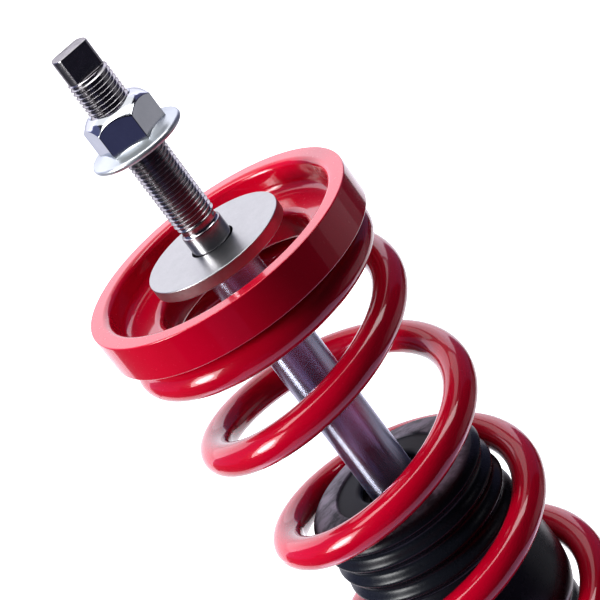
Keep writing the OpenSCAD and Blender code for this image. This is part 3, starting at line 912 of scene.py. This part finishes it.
# The bracket's plate in plan: wrapped round the tube, folded out at each side, and straight along each ear.
PLATE_T = 6.0
EAR_Y = 24.0
FOLD_R = 7.0
WRAP_MID = TUBE_R + PLATE_T / 2
FOLD_X = math.sqrt((WRAP_MID + FOLD_R) ** 2 - (EAR_Y + FOLD_R) ** 2)
FOLD_ANGLE = math.atan2(EAR_Y + FOLD_R, FOLD_X)
WRAP_LEN = WRAP_MID * (math.pi - FOLD_ANGLE)
FOLD_LEN = FOLD_R * (math.pi / 2 - FOLD_ANGLE)


def clevis_bend(s, t, n):
    """Wraps the bracket's flat plate round the back of the tube, and folds it out to its two ears."""
    side, s = math.copysign(1, s), abs(s)
    if s < WRAP_LEN:
        a = math.pi - s / WRAP_MID
        x, y, nx, ny = WRAP_MID * math.cos(a), WRAP_MID * math.sin(a), math.cos(a), math.sin(a)
    elif s < WRAP_LEN + FOLD_LEN:
        a = FOLD_ANGLE + (s - WRAP_LEN) / FOLD_R
        x, y = FOLD_X - FOLD_R * math.cos(a), EAR_Y + FOLD_R - FOLD_R * math.sin(a)
        nx, ny = math.cos(a), math.sin(a)
    else:
        x, y, nx, ny = FOLD_X + s - WRAP_LEN - FOLD_LEN, EAR_Y, 0, 1
    return x + nx * n, side * (y + ny * n), t


def make_knuckle_bracket():
    low, high = extent("knuckle_bracket")
    mounts = frame["record"]["mounts"]
    bolts = [mount["pos_m"] for mount in mounts if mount["name"].startswith("knuckle_bolt")]
    bolt_x = bolts[0][0] / MM
    ear_r = high.x - bolt_x
    end = WRAP_LEN + FOLD_LEN + high.x - FOLD_X
    bolt_s = end - ear_r
    outline = rounded([
        (-end, low.z, ear_r), (end, low.z, ear_r), (end, high.z, ear_r), (-end, high.z, ear_r)],
        math.radians(8))
    hole_r, count = 7.25, 36
    holes = [circle(side * bolt_s, bolt[2] / MM, hole_r) for bolt in bolts for side in (-1, 1)]
    folds = [-WRAP_LEN - FOLD_LEN + 2 * (WRAP_LEN + FOLD_LEN) * i / count for i in range(count + 1)]
    folds += [side * (WRAP_LEN + FOLD_LEN * k / 3) for side in (-1, 1) for k in range(3)]
    mesh = plate(outline, holes, PLATE_T, 0.9, clevis_bend, sorted(set(folds)))
    solid("knuckle_bracket_visual", mesh, "strut_body", BLACK_PAINT, ["knuckle_bracket"])


def make_bracket_web():
    low, high = extent("bracket_web")
    thickness = 4.0
    middle = TUBE_R + thickness / 2
    reach = middle * math.asin((high.y - 0.3) / (TUBE_R + thickness))
    outline = rounded([
        (-reach, low.z, 3), (reach, low.z, 3), (reach, high.z, 3), (-reach, high.z, 3)])
    bend = lambda s, t, n: ((middle + n) * math.cos(s / middle), (middle + n) * math.sin(s / middle), t)
    folds = [reach * (i / 8 - 1) for i in range(1, 16)]
    mesh = plate(outline, [], thickness, 0.6, bend, folds)
    solid("bracket_web_visual", mesh, "strut_body", BLACK_PAINT, ["bracket_web"])


def make_link_tab():
    low, high = extent("link_tab")
    thickness, tab_r, hole_r = high.y - low.y, (high.z - low.z) / 2, 6.1
    level, root = (low.z + high.z) / 2, -(TUBE_R + PLATE_T) + 0.3
    hole = circle(low.x + tab_r, level, hole_r)
    outline = rounded([
        (root, level - tab_r), (root, level + tab_r), (low.x, level + tab_r, tab_r - 0.06),
        (low.x, level - tab_r, tab_r - 0.06)], math.radians(9))
    bend = lambda s, t, n: (s, n, t)
    mesh = plate(outline, [hole], thickness, 0.6, bend)
    solid("link_tab_visual", mesh, "strut_body", BLACK_PAINT, ["link_tab"])


def make_hose_bracket():
    low, high = extent("hose_bracket")
    thickness, width, fold, hole_r = 3.0, high.x - low.x, 4.5, 7.0
    top, flange_y = high.z - thickness / 2, -(TUBE_R + PLATE_T) - thickness / 2 - 0.05
    end_y = low.y
    hole = circle(width / 2, 0, hole_r)
    flat_len = flange_y - fold - end_y
    fold_len = fold * math.pi / 2
    total = flat_len + fold_len + (top - fold - low.z)

    def bend(s, t, n):
        """Level from the bracket's tip, then round the fold and down to the wrap."""
        if s < flat_len:
            y, z, ny, nz = end_y + s, top, 0, 1
        elif s < flat_len + fold_len:
            a = (s - flat_len) / fold
            y, z = flange_y - fold + fold * math.sin(a), top - fold + fold * math.cos(a)
            ny, nz = math.sin(a), math.cos(a)
        else:
            y, z, ny, nz = flange_y, top - fold - (s - flat_len - fold_len), 1, 0
        return t, y + ny * n, z + nz * n

    half = width / 2
    outline = rounded([
        (0, -half, half - 0.06), (total, -half, 2.5), (total, half, 2.5), (0, half, half - 0.06)],
        math.radians(9))
    folds = [flat_len + fold_len * k / 6 for k in range(7)]
    mesh = plate(outline, [hole], thickness, 0.5, bend, folds)
    solid("hose_bracket_visual", mesh, "strut_body", BLACK_PAINT, ["hose_bracket"])


def upright_path(x, y, low, high, steps):
    """Points straight up from one level to another."""
    return [(x, y, low + (high - low) * i / steps) for i in range(steps + 1)]


def round_path(radius, level, angles):
    """Points round the tube at one level."""
    return [(radius * math.cos(a), radius * math.sin(a), level) for a in angles]


def make_welds():
    """Weld beads of the bracket, the web, the two tabs and the base cap."""
    wrap = TUBE_R + PLATE_T
    cap_seam_r, web_x, web_y, hose_seam = 23.6, 20.2, 20.6, 13.0
    _, bracket_high = extent("knuckle_bracket")
    back = [math.pi + math.radians(a) for a in range(-112, 113, 4)]
    beads = [bead(round_path(TUBE_R * 1.02, bracket_high.z + 0.6, back), 1.9)]
    tube_end = extent("strut_tube")[0].z
    beads.append(bead(round_path(cap_seam_r, tube_end + 0.6, turn_angles(96)), 1.7, closed=True))
    web_low, web_high = extent("bracket_web")
    tab_low, tab_high = extent("link_tab")
    hose_low, hose_high = extent("hose_bracket")
    for side in (-1, 1):
        beads.append(bead(upright_path(web_x, side * web_y, web_low.z + 2, web_high.z - 2, 40), 1.7))
    for side in (-1, 1):
        tab_side = side * (tab_high.y + 0.4)
        beads.append(bead(upright_path(-wrap - 0.2, tab_side, tab_low.z + 1, tab_high.z - 1, 14), 1.7))
    for side in (-1, 1):
        start = hose_low.z + 0.5
        foot = upright_path(side * hose_high.x, -wrap + 0.9, start, start + hose_seam, 14)
        beads.append(bead(foot, 1.5))
    solid("weld_beads", together(*beads), "strut_body", BLACK_PAINT, sharp=60)


# ---------------------------------------------------------------- studio


def make_camera():
    """The camera looks down at the upper half of the strut, and is rolled so that the strut leans left."""
    location = Vector((0, -0.62294, 0.22817))
    target = Vector((0.0110, 0, -0.03353))
    roll = math.radians(36.587)
    camera = bpy.data.objects.new("camera", bpy.data.cameras.new("camera"))
    bpy.context.scene.collection.objects.link(camera)
    camera.data.sensor_width = 36
    camera.data.lens = 128.41
    camera.data.clip_start, camera.data.clip_end = 0.05, 60
    upright = (target - location).to_track_quat("-Z", "Y").to_matrix()
    camera.rotation_mode = "QUATERNION"
    camera.rotation_quaternion = (upright @ Matrix.Rotation(-roll, 3, "Z")).to_quaternion()
    camera.location = location
    bpy.context.scene.camera = camera


def make_panel(name, azimuth, elevation, distance, size, radiance, color=(1, 1, 1), shape="RECTANGLE"):
    """A soft panel that faces the strut's upper half. Azimuth turns from the camera's side toward +X."""
    a, e = math.radians(azimuth), math.radians(elevation)
    away = Vector((math.sin(a) * math.cos(e), -math.cos(a) * math.cos(e), math.sin(e)))
    light = bpy.data.lights.new(name, "AREA")
    light.shape = shape
    light.size, light.size_y = size
    area = size[0] * size[1] * (math.pi / 4 if shape == "ELLIPSE" else 1)
    light.energy = radiance * math.pi * area
    light.color = color
    lamp = bpy.data.objects.new(name, light)
    bpy.context.scene.collection.objects.link(lamp)
    lamp.location = away * distance + Vector((0, 0, -0.05))
    lamp.rotation_mode = "QUATERNION"
    lamp.rotation_quaternion = (-away).to_track_quat("-Z", "Y")


def make_floor():
    """A plain pale floor, lit evenly like a light table, which clears the strut's foot at its lowest."""
    half, gap = 30, 0.004
    level = cad_box[0].z + joint_range("seat_height")[0] - gap
    mesh = bpy.data.meshes.new("floor")
    corners = [(-half, -half, level), (half, -half, level), (half, half, level), (-half, half, level)]
    mesh.from_pydata(corners, [], [(0, 1, 2, 3)])
    floor = bpy.data.objects.new("floor", mesh)
    bpy.context.scene.collection.objects.link(floor)
    paper = Finish("floor_paper", base_color=(0.8, 0.8, 0.8, 1), roughness=0.9)
    paper.shader.inputs["Emission Color"].default_value = (1, 1, 1, 1)
    paper.shader.inputs["Emission Strength"].default_value = 0.95
    mesh.materials.append(paper.material)
    floor.visible_diffuse = floor.visible_glossy = floor.visible_shadow = False


def make_studio():
    """Dark surroundings, a key softbox at the left, dim fills, a pale backdrop and light from overhead."""
    world = bpy.data.worlds.new("studio")
    bpy.context.scene.world = world
    world.use_nodes = True
    world.node_tree.nodes["Background"].inputs["Color"].default_value = (0.023, 0.023, 0.036, 1)
    make_floor()
    make_panel("key_box", -75, 19, 1.6, (0.74, 1.0), 5)
    for share, radiance in ((1.4, 9), (1, 16), (0.65, 22)):
        make_panel("key_core", -75, 18, 1.55, (0.34 * share, 0.46 * share), radiance, shape="ELLIPSE")
    make_panel("left_glow", -105, -20, 2.0, (2.4, 1.1), 0.06)
    make_panel("left_gap", -121, 23, 2.2, (1.8, 2.3), 0.28, (0.45, 0.5, 1))
    make_panel("right_gap", 128, 18, 2.2, (1.8, 2.3), 0.2, (0.5, 0.5, 1))
    make_panel("right_glow", 90, -22, 2.0, (1.2, 1.1), 0.22, (0.97, 0.95, 1))
    make_panel("right_wide", 90, -22, 2.05, (2.3, 1.2), 0.16, (0.95, 0.95, 1))
    make_panel("back_high", 183, 28, 3.0, (4.7, 1.8), 1.5, (0.94, 0.92, 1))
    make_panel("back_low", 183, -9, 3.0, (4.7, 2.2), 1.05, (0.94, 0.92, 1))
    make_panel("back_table", 183, -54, 1.3, (2.6, 1.2), 0.95, (1, 0.95, 1))
    make_panel("front_glow", -29, -22, 2.4, (1.0, 0.9), 0.11, (0.42, 0.45, 1))
    make_panel("top_strip", 0, 85, 1.1, (2.0, 0.38), 4.8)
    make_panel("top_back", 180, 66, 1.3, (1.6, 0.94), 1.15)
    make_panel("table_glow", 0, -80, 0.6, (1.1, 0.9), 0.9, (0.85, 0.66, 1))
    bpy.context.scene.view_settings.view_transform = "Standard"
    bpy.context.scene.view_settings.look = "Medium High Contrast"


make_camera()
finish_internals()
make_piston_rod()
make_stop_washer()
make_flange_nut()
make_upper_seat()
make_coil_spring()
make_lower_seat()
make_slotted_ring("adjusting_collar", "collar", (8.0,))
make_slotted_ring("lock_ring", "lock", ())
make_dust_boot()
make_strut_tube()
make_base_cap()
make_knuckle_bracket()
make_bracket_web()
make_link_tab()
make_hose_bracket()
make_welds()
make_studio()
